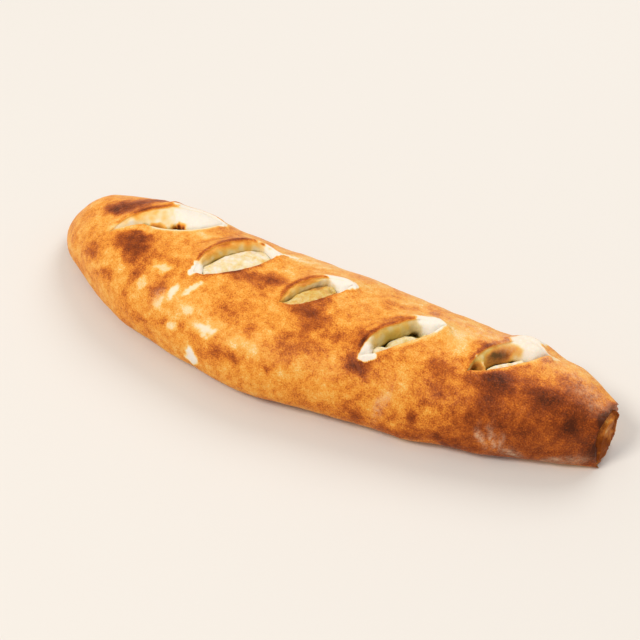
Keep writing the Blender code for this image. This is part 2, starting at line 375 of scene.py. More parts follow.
def endPlace(turn):
    back = float(np.interp(degrees(turn), *zip(*crustForm["rimBack"])))
    around = Vector((cos(turn), sin(turn), 0))
    coarse, fine = (noise.noise(around * crustForm["rimRadius"] / size) for size in crustForm["rimBites"])
    return crustForm["rimRagged"] * (coarse + 0.5 * fine) - back


def skinPlaces(mesh):
    # where each corner of the sheet lies on the loaf once the slits gape, and the lips' corners
    places, lips = [], [[] for _ in slits]
    fadeFrom, fadeTo = slitForm["spreadFades"]
    for vert in mesh.verts:
        along, across, turn = vert.co
        point, out = onSection(along, turn)
        if 0 < turn < pi:
            moved = Vector((along, across))
            for number, slit in enumerate(slits):
                p, q = slitPlace(slit, along, across)
                if abs(p) > slit["length"] / 2 or abs(q) > fadeTo:
                    continue
                side = 1 if q > 0 else -1
                onLip = abs(q) < slitForm["line"] and any(e.is_boundary for e in vert.link_edges)
                if onLip:
                    middles = [f.calc_center_median() for f in vert.link_faces]
                    side = 1 if sum(slitPlace(slit, m.x, m.y)[1] for m in middles) > 0 else -1
                    lips[number].append((vert, p, side))
                name = "far" if side > 0 else "near"
                spread = slitForm[name + "Spread"]
                shift = side * slit[name] * lens(slit, p, name) * bell(q / spread)
                shift *= 1 if onLip else smooth(0.2, 0.8, out.z) * smooth(fadeTo, fadeFrom, abs(q))
                c, s = cosSin(slit["turn"])
                moved += Vector((-s, c)) * shift
            if (moved - Vector((along, across))).length > 1e-6:
                point, out = onTop(*moved)
        point = point + out * relief(point, out)
        point.x += endPlace(turn) * smooth(openEnd - crustForm["rimReach"], openEnd, along)
        point.z = max(point.z, 0)
        places.append(point)
    return places, lips


def grow(mesh, edges):
    # extrudes edges, and gives back the new edges and corners
    grown = bmesh.ops.extrude_edge_only(mesh, edges=edges)["geom"]
    corners = [g for g in grown if isinstance(g, bmesh.types.BMVert)]
    return [g for g in grown if isinstance(g, bmesh.types.BMEdge)], corners


def addWalls(mesh, slit, lip):
    # draws the lips' edge down ring by ring: a rounded lip, the far wall's slope and a straight drop
    ring = {vert: (p, side, vert.co.copy()) for vert, p, side in lip if vert.is_valid}
    edges = [e for e in mesh.edges if e.is_boundary and all(v in ring for v in e.verts)]
    crumb = mesh.verts.layers.float["crumb"]
    wallSteps = slitForm["wallRings"]
    steps = [("lip", radians(angle), depth) for angle, depth in slitForm["lipSteps"]]
    steps += [("wall", k / wallSteps, 0.4 + 0.5 * k / wallSteps) for k in range(1, wallSteps + 1)]
    steps += [("drop", share, 1) for share in slitForm["dropSteps"]]
    for kind, share, depth in steps:
        edges, fresh = grow(mesh, edges)
        ring = {vert: ring[next(v for e in vert.link_edges for v in e.verts if v in ring)] for vert in fresh}
        for vert, (p, side, start) in ring.items():
            vert.co = wallPlace(slit, p, side, start, kind, share)
            vert[crumb] = depth


def wallPlace(slit, p, side, start, kind, share):
    farOpen, nearOpen, farLip, nearLip = lipsAt(slit, p)
    gape = farLip - nearLip
    lipRound = min(slitForm["lipRound"], gape * slitForm["lipRoundShare"])
    lipQ = farLip if side > 0 else nearLip
    nearHeight = slitForm["nearRise"] * sqrt(nearOpen)
    lipHeight = slit["rise"] * sqrt(farOpen) if side > 0 else nearHeight
    if kind == "lip":
        q = lipQ - side * lipRound * sin(share)
        height = lipHeight - lipRound * (1 - cos(share))
    else:
        q, top = lipQ - side * lipRound, lipHeight - lipRound
        close, puff, _ = closing(slit, p) if side > 0 else (0, 0, 0)
        notch = sum(push * bell((p - place) / width) for place, width, push in slit["notches"])
        footQ = (slit["foot"] * farOpen + notch) * (1 - close) + lipRound * close + nearLip
        footQ = min(footQ, q) if side > 0 else q
        deep, full = (min(gape / slitForm[name], 1) for name in ("deepFrom", "fullFrom"))
        footHeight = -slit["depth"] * deep * (1 - close) + (nearHeight - lipRound) * close
        if kind == "wall":
            swell = slitForm["wallBulge"] * full * (1 - close)
            swell = (swell + puff * close * sqrt(farOpen)) * sin(pi * share)
            fold = noise.noise(Vector((p / slitForm["foldLength"], share * 1.5, slit["along"])))
            fold *= slitForm["wallFolds"] * full
            height = top + (footHeight - top) * share + swell + fold
            q = q + (footQ - q) * share + (fold - swell * 0.3 if side > 0 else 0)
        else:
            height = footHeight + (-slitForm["cutBelow"] - footHeight) * share
            q = footQ + (slit["undercut"] * farOpen * (1 - close) if side > 0 else 0)
    along, across = fromSlit(slit, p, q)
    wasAlong, wasAcross = fromSlit(slit, p, lipQ)
    point = Vector((along, across, start.z))
    point.z += onTop(along, across)[0].z - onTop(wasAlong, wasAcross)[0].z + height - lipHeight
    return point


def softenDough(mesh):
    # rounds off the raw dough that closes the slits' ends, as it puffs up
    crumb = mesh.verts.layers.float["crumb"]
    soft = []
    for vert in mesh.verts:
        for slit in slits:
            p, q = slitPlace(slit, vert.co.x, vert.co.y)
            inside = abs(p) < slit["length"] / 2 + slitForm["softReach"] and vert.co.z > slitForm["softAbove"]
            close, _, whiteTo = closing(slit, p)
            if inside and vert[crumb] < slitForm["softCrumb"] and close > slitForm["softFrom"]:
                _, _, farLip, nearLip = lipsAt(slit, p)
                if nearLip - 1 < q < min(farLip + slitForm["softReach"], whiteTo + 2):
                    soft.append(vert)
                    break
    for _ in range(slitForm["softenings"]):
        bmesh.ops.smooth_vert(mesh, verts=soft, factor=0.5, use_axis_x=True, use_axis_y=True, use_axis_z=True)


def slab(columns, rows):
    # a closed slab, 2 by 2 by 1, divided along and across
    mesh = bmesh.new()
    bmesh.ops.create_grid(mesh, x_segments=columns, y_segments=rows, size=1)
    grown = bmesh.ops.extrude_face_region(mesh, geom=mesh.faces[:])["geom"]
    bmesh.ops.translate(mesh, verts=[g for g in grown if isinstance(g, bmesh.types.BMVert)], vec=(0, 0, -1))
    return mesh


def closed(name, mesh):
    # fills a mesh's last openings and makes it a piece, in metres
    bmesh.ops.holes_fill(mesh, edges=mesh.edges, sides=0)
    bmesh.ops.triangulate(mesh, faces=mesh.faces)
    bmesh.ops.recalc_face_normals(mesh, faces=mesh.faces)
    bmesh.ops.translate(mesh, verts=mesh.verts, vec=-middle)
    bmesh.ops.scale(mesh, verts=mesh.verts, vec=(mm, mm, mm))
    return addPiece(name, mesh)


def addPiece(name, mesh):
    data = bpy.data.meshes.new(name)
    mesh.to_mesh(data)
    mesh.free()
    piece = bpy.data.objects.new(name, data)
    bpy.context.scene.collection.objects.link(piece)
    return piece


def combine(piece, other, operation):
    # applies a Boolean with another piece, which is used up
    change = piece.modifiers.new(operation, "BOOLEAN")
    change.operation = operation
    change.solver = "MANIFOLD"
    change.object = other
    bpy.context.view_layer.update()
    done = bpy.data.meshes.new_from_object(piece.evaluated_get(bpy.context.evaluated_depsgraph_get()))
    piece.modifiers.clear()
    piece.data = done
    bpy.data.objects.remove(other)


def insidePoint(u, v, more=0.0):
    # a place on the hollow's skin, or that much further in
    along = hollowStart + (hollowEnd - hollowStart) * u
    thinning = smooth(openEnd - loafForm["wallTaper"], openEnd, along)
    wall = loafForm["wall"] + (loafForm["wallAtEnd"] - loafForm["wall"]) * thinning + more
    turn = 2 * pi * v - pi / 2
    point, out = onSection(along, turn, wall)
    point.z = max(point.z, wall)
    return point, out


def makeCrust():
    mesh = flatSheet(crustForm["rings"], crustForm["turns"])
    mesh.verts.layers.float.new("crumb")
    for vert in mesh.verts:
        along = alongAt(vert.co.x)
        turn = float(np.interp(vert.co.y, turnShares, turnValues))
        vert.co = (along, onSection(along, turn)[0].y, turn)
    openSlits(mesh)
    places, lips = skinPlaces(mesh)
    seam = [v for v in mesh.verts if v.co.z < -pi / 2 + 0.001 or v.co.z > 1.5 * pi - 0.001]
    for vert, place in zip(mesh.verts, places):
        vert.co = place
    bmesh.ops.remove_doubles(mesh, verts=seam, dist=crustForm["merge"])
    for slit, lip in zip(slits, lips):
        addWalls(mesh, slit, lip)
    softenDough(mesh)
    return closed("bakedCrust", mesh)


crust = makeCrust()
print("stage: skin", len(crust.data.polygons))


def makeHollow():
    mesh = flatSheet(crustForm["insideRings"], crustForm["insideTurns"])
    for vert in mesh.verts:
        point, out = insidePoint(vert.co.x, vert.co.y)
        vert.co = point + out * noise.noise(point / crustForm["insideLumpSize"]) * crustForm["insideLumps"]
    bmesh.ops.remove_doubles(mesh, verts=mesh.verts, dist=crustForm["merge"])
    return closed("hollow", mesh)


def placesOf(piece):
    # each corner's place in mm
    return np.array([v.co for v in piece.data.vertices]) / mm + np.array(middle)


# How deep in the dough each corner lies before the hollow is cut: 0 on the skin, 1 on bare crumb
placesBefore = placesOf(crust)
depthsBefore = np.zeros(len(placesBefore))
crust.data.attributes["crumb"].data.foreach_get("value", depthsBefore)
combine(crust, makeHollow(), "DIFFERENCE")
print("stage: hollow", len(crust.data.polygons))


# How far each place is baked, with some painted shade in the same value: 0 raw white dough, 0.45 golden,
# 1 scorched. Marks are along, across, height of the middle, half length, half breadth, a turn towards the far
# side in degrees if any, and their strength
crustLook = {
    "golden": 0.46,
    "darkest": 0.55,
    # browner to the right on the near side: partly baking, partly painted shade
    "rightBrowner": 0.34,
    "rightAlong": (80, 150),
    "nearSide": (10, 35),
    "topPaler": 0.07,
    "topAlong": (-40, 0),
    "topAcross": (-45, -15),
    "lipBrowner": 0.28,
    "lipWidth": 1.6,
    "lipBack": 0.6,  # how far behind the far lip it's brownest, and behind the near one
    "nearLipBack": 0.3,
    "nearLipWidth": 1.4,
    "lipLeast": 0.02,
    "whiteFrom": (0.02, 0.8),  # how closed the slit is where its dough turns white
    "lipFrom": (0.1, 0.5),  # how open the slit is where its lips turn brown
    "slitReach": 3,
    "whiteAbove": 20,
    # scorched marks; those low on the near side, about 10 to 12 mm up, are painted shade
    "scorchedAndLowShade": (
        (-125, -8, 44, 13, 6, 20, 0.45), (-111, 5, 42, 9, 3, 35, 0.45), (-134, -13, 43, 7, 6, 30, 0.42),
        (-106, -39, 45, 10, 7, -20, 0.45), (-99, -46, 43, 7, 8, -55, 0.42), (-90, -55, 40, 4, 7, -60, 0.3),
        (-116, -36, 44, 7, 5, 0.42), (-103, -33, 46, 8, 4, 0.4), (-42, -38, 47, 7, 3, 10, 0.3),
        (-60, -75.4, 27, 4, 4, 0.22), (-49, -75.4, 31, 3.5, 3.5, 0.2), (-73.6, -73.6, 23, 5, 3, 0.2),
        (-10, -68, 41, 3.5, 3.5, 0.3), (-84, -70, 22, 4, 4, 0.18), (-95, -62, 30, 3, 5, 0.16),
        (-132, -44, 33, 4, 6, -60, 0.3), (-115, -57, 30, 4, 6, -60, 0.2), (-75, -60, 40, 4.5, 9, -30, 0.33),
        (-79, -44, 45, 9, 2.5, 10, 0.16), (-31, -37, 47, 9, 6, 0.4), (-12, -31, 48, 8, 5.5, 10, 0.36),
        (-20, -36, 48, 14, 5, 5, 0.2), (-23, -65, 42, 6, 6, 0.25), (-21, -82, 27, 8, 5, 0.3),
        (-9, -82, 29, 7, 5, 0.26), (7, -80, 31, 7, 6, 0.2), (19, -66, 41, 7, 9, -20, 0.22),
        (19, -50, 46, 9, 8, -30, 0.5), (20, -37, 48, 7, 4, 10, 0.32), (29, -48, 47, 6, 6, 0.2),
        (36, -58, 44, 7, 6, 0.12), (-71, -75, 13, 6, 4, 0.12), (57, -62, 41, 9, 5, -10, 0.52),
        (52, -51, 46, 6, 5, 0.3), (40, -55, 45, 6, 5, 0.15), (60, -14, 46, 8, 4, 25, 0.2),
        (81, -11, 44, 7, 4, 20, 0.28), (99, -47, 43, 9, 6, 0.28), (99, -57, 38, 7, 6, 0.2),
        (125, -43, 40, 9, 11, -20, 0.32), (154, -38, 39, 9, 6, 0.13), (139, -51, 34, 10, 9, -0.08),
        (92, -70, 22, 4, 5.5, 0.42), (168, -43, 30, 6, 6, 0.3), (57, -76, 18, 7, 5, 0.25),
        (63, -75, 12, 7, 5, 0.2), (112, -67, 12, 9, 5, 0.15), (93, -64, 34, 7, 5, 0.15),
        (177, -32, 36, 6, 5, 0.1), (185, -35, 28, 3, 16, 0.3), (142, -13, 41, 7, 3, 10, 0.32),
        (-104, 5, 45, 4, 3, 0.3), (121, -7, 44, 4, 3, 30, 0.3), (184, -20, 34, 4, 9, 0.35),
        (184, -30, 34, 3, 7, 0.22), (187, -11, 33, 5, 9, 0.4), (168, -20, 37, 12, 8, 0.14),
        (183, -38, 20, 6, 12, 0.2), (66, -56, 43, 6, 4, 45, 0.25), (61, -31, 47, 7, 3, 50, 0.22),
        (57, -76, 10, 12, 5, 0.22), (36, -79, 12, 9, 4, 0.2), (18, -61, 43, 6, 5, 0.18),
        (16, -44, 47, 6, 4, 0.2), (27, -65, 41, 6, 5, 0.18), (119, -64, 23, 9, 9, 0.14),
        (108, -67, 12, 13, 5, 0.22), (4, -50, 47, 6, 4, 0.12), (-131, -8, 43, 9, 8, 30, 0.42),
        (-120, 3, 41.5, 8, 5, 30, 0.3), (85, -72, 11, 13, 6, 0.45), (137, -55, 31, 12, 6, 0.1),
        (134, -59, 25, 10, 6, 0.06), (75, -73, 22, 5, 5, 0.15), (113, -20, 43, 6, 4, 40, 0.2),
        (59, -65, 39, 7, 4, 0.25), (62, -55, 43.5, 6, 4, 45, 0.2), (10, -47, 47, 6, 4, 0.18),
        (185, -36, 26, 3.5, 13, 0.26),
    ),
    "paler": (
        (-32, -74, 35, 10, 5, 0.3), (-77, -50, 44, 8, 3, 10, 0.3), (-26, -70, 39.6, 7, 4, 0.3),
        (-11, -76, 36, 8, 4, 0.35), (2, -78, 34, 9, 3.5, 0.35), (-55, -66, 38, 14, 9, 0.25),
        (-100, -62, 32, 5, 8, 0.25), (-117, -48, 37, 3, 7, 0.25), (100, -29, 45, 10, 8, -30, 0.35),
        (93, -20, 45, 7, 6, 0.3), (-105, -26, 46, 10, 2.2, 12, 0.3), (-124, -21, 44, 7, 5, 40, 0.35),
        (-66, -12, 46, 9, 3, 30, 0.4), (-123, -29, 44, 9, 3, 20, 0.6), (109, -42, 43, 6, 3, 45, 0.25),
        (-8, -4, 45, 10, 2, 25, 0.5), (-4, -76, 37, 9, 5, 0.15), (89, -31, 46, 16, 9, 0.12),
        (-77, -17, 47, 9, 4, 30, 0.35), (150, -10, 39, 9, 6, 0.2), (96, -20, 44, 10, 5, 0.2),
    ),
    "streaks": (
        (-62.5, -61.3, 40.6, 2.8, 6, -12, 0.85), (-53, -57.3, 43, 2.0, 7.5, -35, 0.75),
        (-69, -68, 35, 2, 4.5, -20, 0.55), (-33, -75.3, 34.8, 7.5, 2.8, 0.8), (-39.5, -81.5, 17, 5, 6.5, 1),
        (-85, -61, 37.4, 3, 5, -20, 0.5), (-55, -75.4, 29, 3.5, 3, 0.55), (-49, -68.6, 37.8, 4.5, 2.6, 0.5),
        (-77, -50, 44, 6, 1.8, 10, 0.5),
    ),
    "torn": (
        (-74, 3, 44, 9, 6, 40, 1), (-58, -45, 46, 5, 3, 50, 1), (-26, -10, 46, 5, 5, 40, 1),
        (-18, -5, 45, 9, 1.4, 25, 0.8), (25, -17, 47, 7, 5, 40, 1), (59, -58, 42.5, 5.5, 4.6, 45, 1),
        (81.6, -22.4, 46.5, 8, 7, 51, 1), (131, -3, 41, 12, 8, 40, 1), (146, -9, 40, 5, 2, 20, 0.6),
    ),
    # near-side marks are flour dust; the marks at -21 mm across and up, on the top and far side, paint a pale
    # sheen
    "flourAndSheen": (
        (129, -62, 18, 1.5, 6.5, 8, 0.95), (134.5, -61, 17.5, 1.6, 8, 3, 0.95),
        (140, -59, 14, 1.6, 6, -6, 0.95), (136, -60, 16, 6, 6, 0.2), (146, -57, 9, 5, 3.5, 0.7),
        (169, -46, 8, 13, 4, 0.75), (74, -72, 26, 3, 9, 0.5), (-72, -66, 36, 3.5, 5, 0.6),
        (120, -9, 42, 55, 9, 0.48), (20, 4, 42, 60, 9, 0.35), (-20, 10, 38, 60, 8, 0.25),
        (164, -16, 37, 14, 5, 0.5), (173, -21, 37, 11, 8, 0.46),
    ),
    "streakPatches": 0.8,
    "wallPatches": 0.22,
    "closingWarp": 5,
    "paling": 0.6,
    "palingReach": 1.6,
    "wallPatchSize": 4,
    "warp": ((15, 4.5), (5, 1.8)),
    "tear": ((6, 1.6), (2.2, 1.1)),
    "bottomPaler": 0.22,
    "bottomHeights": (2.4, 0.8),
    "endPaler": 0.3,
    "endHeights": (5, 1.5),
    "endAlong": (135, 160),
    "endFade": 8,
    "cutEnd": 0.86,
    "cutReach": 12,
    "samePlace": 0.05,
}
# Each slit's far wall: how baked it is at its lip and foot, how olive with oil at its lip, its foot and the
# crevice below, where the darker olive at the foot and in the crevice is painted shade, how much browner its
# near lip is, and scorched places: along the slit, share of the way down, half length, half share and how
# much browner. The first slit's place at 8.5 and all of the last slit's places are painted shade
wallLook = (
    (0.3, 0.1, 0.0, 0.18, 0.7, -0.35, ((8.5, 1.04, 3.2, 0.14, 1.0), (-5, 0.98, 5, 0.1, 0.45))),
    (0.48, 0.22, 0.0, 0.3, 0.75, 0.15, ()),
    (0.36, 0.16, 0.1, 0.3, 0.6, 0.12, ((-3, 0.25, 5, 0.3, 0.25),)),
    (0.27, 0.26, 0.36, 0.6, 0.75, -0.22, ()),
    (0.26, 0.3, 0.36, 0.36, 0.6, -0.25,
     ((-4, 0.7, 9, 0.6, 0.45), (1, 0.4, 7, 0.42, 0.36), (-19, 0.8, 4, 0.6, 0.5))),
)


markForm = {"depth": 12, "edge": 1.3, "tornEdge": (0.42, 0.62), "streakEdge": (0.2, 0.65)}


def wayOut(along, across, up):
    # the way out of the loaf's smooth skin at a place on it
    centre, half, level, rise, drop = section(along)
    high = up >= level
    square = squareAbove(along) if high else loafForm["roundBelow"]
    tall = rise if high else drop
    off, lift = (across - centre) / half, (up - level) / tall
    return Vector((0, power(off, square - 1) / half, power(lift, square - 1) / tall)).normalized()


def markShare(places, mark):
    # 1 in the middle of a mark and 0 well outside it, measured along the skin
    along, across, up, length, breadth, *turn = mark[:-1]
    out = np.array(wayOut(along, across, up))
    roundLoaf = np.array((0, out[2], -out[1]))
    c, s = cosSin(*turn)
    away = places - np.array((along, across, up))
    a, b, deep = away[:, 0], away @ roundLoaf, away @ out
    far = ((a * c + b * s) / length) ** 2 + ((b * c - a * s) / breadth) ** 2 + (deep / markForm["depth"]) ** 2
    return np.exp(-(far ** markForm["edge"]))


def marked(places, marks):
    # how much browner, or oilier, these marks make each place
    return sum(mark[-1] * markShare(places, mark) for mark in marks)


def smoothArray(low, high, values):
    # as smooth, for many values at once
    t = np.clip((values - low) / (high - low), 0, 1)
    return t * t * (3 - 2 * t)


def leftBy(places, marks, edge=None, uneven=1):
    # how much of the browning these marks leave, with a crisp edge if one is given
    left = 1
    for mark in marks:
        share = markShare(places, mark) * uneven
        left *= 1 - mark[-1] * (smoothArray(*edge, share) if edge else share)
    return left


def warped(places, warps):
    moved = places.copy()
    for size, amount in warps:
        moved += np.array([noise.noise_vector(Vector(place) / size) for place in places]) * amount
    return moved


# How deep each part of a slit lies: 0 is the skin, then the round lip to 0.36, the wall to 0.9 and 1 the rest
depths = {
    "skin": 0.15, "lip": 0.4, "wall": (0.2, 0.45), "down": (0.4, 0.95), "dough": (0.05, 0.3),
    "crevice": (0.84, 0.97),
}


def crumbAt(places):
    # the depths from before the hollow was cut, and bare crumb where there was no such corner
    tree = kdtree.KDTree(len(placesBefore))
    for number, place in enumerate(placesBefore):
        tree.insert(place, number)
    tree.balance()
    crumb = np.ones(len(places))
    for number, place in enumerate(places):
        _, found, gap = tree.find(place)
        if gap < crustLook["samePlace"]:
            crumb[number] = depthsBefore[found]
    return crumb


def skinBakeAndShade(at):
    # browner to the right on the near side, partly baking and partly painted shade, a little paler on top,
    # and
    # darker in marks: scorched ones, and painted shade low on the near side
    nearSide = smoothArray(*crustLook["nearSide"], -at[:, 1])
    right = smoothArray(*crustLook["rightAlong"], at[:, 0]) * (0.1 + 0.9 * nearSide)
    top = smoothArray(*crustLook["topAcross"], at[:, 1]) * smoothArray(*crustLook["topAlong"], at[:, 0])
    scorchedAndLowShade = marked(at, crustLook["scorchedAndLowShade"])
    bakeAndShade = crustLook["golden"] + crustLook["rightBrowner"] * right - crustLook["topPaler"] * top
    return bakeAndShade + crustLook["darkest"] * (1 - np.exp(-scorchedAndLowShade / crustLook["darkest"]))


def brownedShare(torn, patches):
    # how much of the browning is left where the dough stayed paler or tore open late: 0 is raw
    ragged = 1 + crustLook["streakPatches"] * patches
    browned = leftBy(torn, crustLook["paler"]) * leftBy(torn, crustLook["torn"], markForm["tornEdge"])
    return browned * leftBy(torn, crustLook["streaks"], markForm["streakEdge"], ragged)


def bakeAndShadeSlit(slit, look, places, crumb, patches, layers):
    # browns a slit's lips and far wall, paints shade at the wall's foot and in its crevice, and leaves the
    # dough that closes its ends white
    lipBake, footBake, topOil, footOilAndShade, crevice, nearBrowner, scorchesAndShade = look
    bakeAndShade, browned, scorchAndShade, olive = layers
    p, q = slitPlace(slit, places[:, 0], places[:, 1])
    warp = crustLook["closingWarp"] * patches
    tornP = p + warp
    inReach = (q > -slit["near"] - crustLook["slitReach"]) & (q < slit["far"] + crustLook["slitReach"])
    mine = (np.abs(p) < slit["length"] / 2 + crustLook["slitReach"]) & inReach
    farOpen, nearOpen, farLip, nearLip, closeShare, whiteTo = np.zeros((6, len(places)))
    lips = np.array([lipsAt(slit, value) for value in p[mine]]).T
    farOpen[mine], nearOpen[mine], farLip[mine], nearLip[mine] = lips
    closeShare[mine], _, whiteTo[mine] = np.array([closing(slit, value) for value in tornP[mine]]).T
    white = smoothArray(*crustLook["whiteFrom"], closeShare) * smoothArray(1, -1, q - whiteTo - warp)
    farEdge = np.exp(-((q - farLip - crustLook["lipBack"]) / crustLook["lipWidth"]) ** 2)
    farEdge *= crustLook["lipBrowner"] * smoothArray(*crustLook["lipFrom"], farOpen)
    onSkin = crumb < depths["skin"]
    bakeAndShade = bakeAndShade + farEdge * onSkin * (1 - white)
    browned = browned * (1 - white * onSkin * (farEdge > crustLook["lipLeast"]))
    nearEdge = np.exp(-((q - nearLip + crustLook["nearLipBack"]) / crustLook["nearLipWidth"]) ** 2)
    bakeAndShade += nearBrowner * smoothArray(*crustLook["lipFrom"], nearOpen) * nearEdge * (crumb < depths["lip"])
    onWall = smoothArray(*depths["wall"], crumb)
    down = smoothArray(*depths["down"], crumb)
    wall = lipBake + (footBake - lipBake) * down + crustLook["wallPatches"] * patches
    # the wall's darker places: scorched, and painted shade in the first slit's hole and all through the last
    # slit
    for place, share, length, breadth, change in scorchesAndShade:
        away = ((tornP - place) / length) ** 2 + ((down - share) / breadth) ** 2
        scorchAndShade = scorchAndShade + change * np.exp(-(away**2)) * onWall * mine
    for begin, full, _, _ in slit["closings"]:
        paling = smoothArray(begin - (full - begin) * crustLook["palingReach"], full, p)
        browned *= np.where(mine, 1 - crustLook["paling"] * paling * onWall, 1)
    browned *= 1 - white * smoothArray(*depths["dough"], crumb) * (places[:, 2] > crustLook["whiteAbove"])
    bakeAndShade = np.where(mine & (crumb > 0), bakeAndShade * (1 - onWall) + wall * onWall, bakeAndShade)
    # olive of oil, darkening towards the foot and the crevice as painted shade
    oilAndShade = (topOil + (footOilAndShade - topOil) * down) * onWall
    oilAndShade += (crevice - footOilAndShade) * smoothArray(*depths["crevice"], crumb)
    return bakeAndShade, browned, scorchAndShade, np.where(mine, oilAndShade, olive)


def bakeAndShadeCrust():
    places = placesOf(crust)
    along, across, up = places.T
    patches = np.array([noise.noise(Vector(place) / crustLook["wallPatchSize"]) for place in places])
    crumb = crumbAt(places)
    at, torn = (warped(places, crustLook[name]) for name in ("warp", "tear"))
    layers = skinBakeAndShade(at), brownedShare(torn, patches), 0, 0
    for slit, look in zip(slits, wallLook):
        layers = bakeAndShadeSlit(slit, look, places, crumb, patches, layers)
    bakeAndShade, browned, scorchAndShade, olive = layers
    bakeAndShade = bakeAndShade * browned + scorchAndShade
    onSkin = crumb < 0.5
    low = smoothArray(*crustLook["bottomHeights"], up) * smoothArray(0, 20, -across)
    lowEnd = smoothArray(*crustLook["endHeights"], up) * smoothArray(*crustLook["endAlong"], along)
    lowEnd *= smoothArray(openEnd, openEnd - crustLook["endFade"], along)
    bakeAndShade -= (crustLook["bottomPaler"] * low + crustLook["endPaler"] * lowEnd) * onSkin
    cutFace = 1.0 * ((crumb == 1) & (along > openEnd - crustLook["cutReach"]))
    bakeAndShade += (crustLook["cutEnd"] - bakeAndShade) * cutFace
    olive *= browned * (1 - np.minimum(scorchAndShade, 1)) * (1 - cutFace)
    # flour dust, and a painted pale sheen along the far top
    flourAndSheen = np.max([mark[-1] * markShare(at, mark) for mark in crustLook["flourAndSheen"]], axis=0)
    addValues(crust, {"bakeAndShade": bakeAndShade, "crumb": crumb, "flourAndSheen": flourAndSheen, "olive": olive})


def addValues(piece, layers):
    kept = piece.data.attributes
    for name, values in layers.items():
        layer = kept.get(name) or kept.new(name, "FLOAT", "POINT")
        layer.data.foreach_set("value", np.asarray(values, np.float32))


bakeAndShadeCrust()
crust.data.shade_smooth()
print("stage: crust baked")


# Melted cheese: it fills the space inside but for a dip under the last slit, and rises into the other slits
cheeseForm = {
    "rings": 120,
    "turns": 100,
    "gap": 0.7,
    "plugRecess": 1.2,
    "plugDome": 2.6,
    "plugRings": 18,
    "hollowReach": 13,
    "hollowNarrower": 1.4,
    "hollowDepth": 8,
    "moundAlong": 72,
    "moundAcross": 26,
    "dome": 1.2,
    "sink": 0.5,
    "edgeFall": 1.5,
    "closedDepth": 5,
    "lumps": ((6, 0.8), (2.4, 0.35)),
    "cragSizes": (9, 2.6, 1.3),
    "cragHeights": (2, 1.4, 0.5),
    "cragFrom": (-28, -18),  # the plug is more ragged from here on across
}


def plugCrag(point):
    flat = Vector((0, point.y, point.z))
    crags = zip(cheeseForm["cragSizes"], cheeseForm["cragHeights"])
    coarse, middling, fine = (noise.noise(flat / size) * height for size, height in crags)
    return coarse + (middling + fine) * smooth(*cheeseForm["cragFrom"], point.y)


def cheesePoint(u, v):
    point, _ = insidePoint(u, v, cheeseForm["gap"])
    hollow = slits[-1]
    p, q = slitPlace(hollow, point.x, point.y - hollow["far"] / 2)
    if point.z > 20:
        away = hypot(p, cheeseForm["hollowNarrower"] * q) / cheeseForm["hollowReach"]
        point.z -= cheeseForm["hollowDepth"] * bell(away)
    return point


def makeCore():
    mesh = flatSheet(cheeseForm["rings"], cheeseForm["turns"])
    stop = (openEnd - cheeseForm["plugRecess"] - hollowStart) / (hollowEnd - hollowStart)
    for vert in mesh.verts:
        vert.co = cheesePoint(vert.co.x * stop, vert.co.y)
    bmesh.ops.remove_doubles(mesh, verts=mesh.verts, dist=crustForm["merge"])
    rim = [e for e in mesh.edges if e.is_boundary and all(v.co.x > 0 for v in e.verts)]
    centre = sum((e.verts[0].co for e in rim), Vector()) / len(rim)
    for ring in range(cheeseForm["plugRings"], 1, -1):
        rim, fresh = grow(mesh, rim)
        share = (ring - 1) / ring
        bmesh.ops.scale(mesh, verts=fresh, vec=(1, share, share), space=Matrix.Translation(-centre))
    bmesh.ops.holes_fill(mesh, edges=mesh.edges, sides=0)
    for vert in mesh.verts:
        if vert.co.x > openEnd - cheeseForm["plugRecess"] - 0.5:
            _, half, level, rise, _ = section(vert.co.x)
            off, lift = (vert.co.y - centre.y) / half, (vert.co.z - centre.z) / rise
            vert.co.x += plugCrag(vert.co) + cheeseForm["plugDome"] * max(1 - off**2 - lift**2, 0) ** 0.7
    return closed("meltedCheese", mesh)


def makeMound(slit):
    # cheese risen into a slit, highest under its near lip and falling off before the foot of the far wall
    mesh = slab(cheeseForm["moundAlong"], cheeseForm["moundAcross"])
    for vert in mesh.verts:
        x, y, level = vert.co
        p = x * slit["length"] / 2
        farOpen, _, _, nearLip = lipsAt(slit, p)
        near = nearLip - cheeseForm["sink"]
        far = near + (slit["foot"] - slit["crevice"]) * farOpen + 2 * cheeseForm["sink"]
        side = (y + 1) / 2
        q = near + (far - near) * side
        point = onTop(*fromSlit(slit, p, q))[0]
        fall = smooth(slit["ledge"], 1, side) if slit["ledge"] else side**1.5
        height = -slit["nearCheese"] - (slit["farCheese"] - slit["nearCheese"]) * fall
        height += cheeseForm["dome"] * (1 - x * x) * (1 - y * y)
        height -= cheeseForm["edgeFall"] * smooth(0.85, 1, side)
        height -= cheeseForm["closedDepth"] * smooth(0.3, 1, closing(slit, p)[0])
        for pitAlong, pitAcross, reach, depth in slit["pits"]:
            height -= depth * bell(hypot(p - pitAlong, q - pitAcross) / reach)
        height += sum(noise.noise(point / size) * rise for size, rise in cheeseForm["lumps"])
        point.z += height if level > -0.5 else -slitForm["cutBelow"]
        vert.co = point
    bmesh.ops.remove_doubles(mesh, verts=mesh.verts, dist=crustForm["merge"])
    return closed("mound", mesh)


cheese = makeCore()
for slit in slits:
    combine(cheese, makeMound(slit), "UNION")
cheese.data.shade_smooth()
print("stage: cheese", len(cheese.data.polygons))


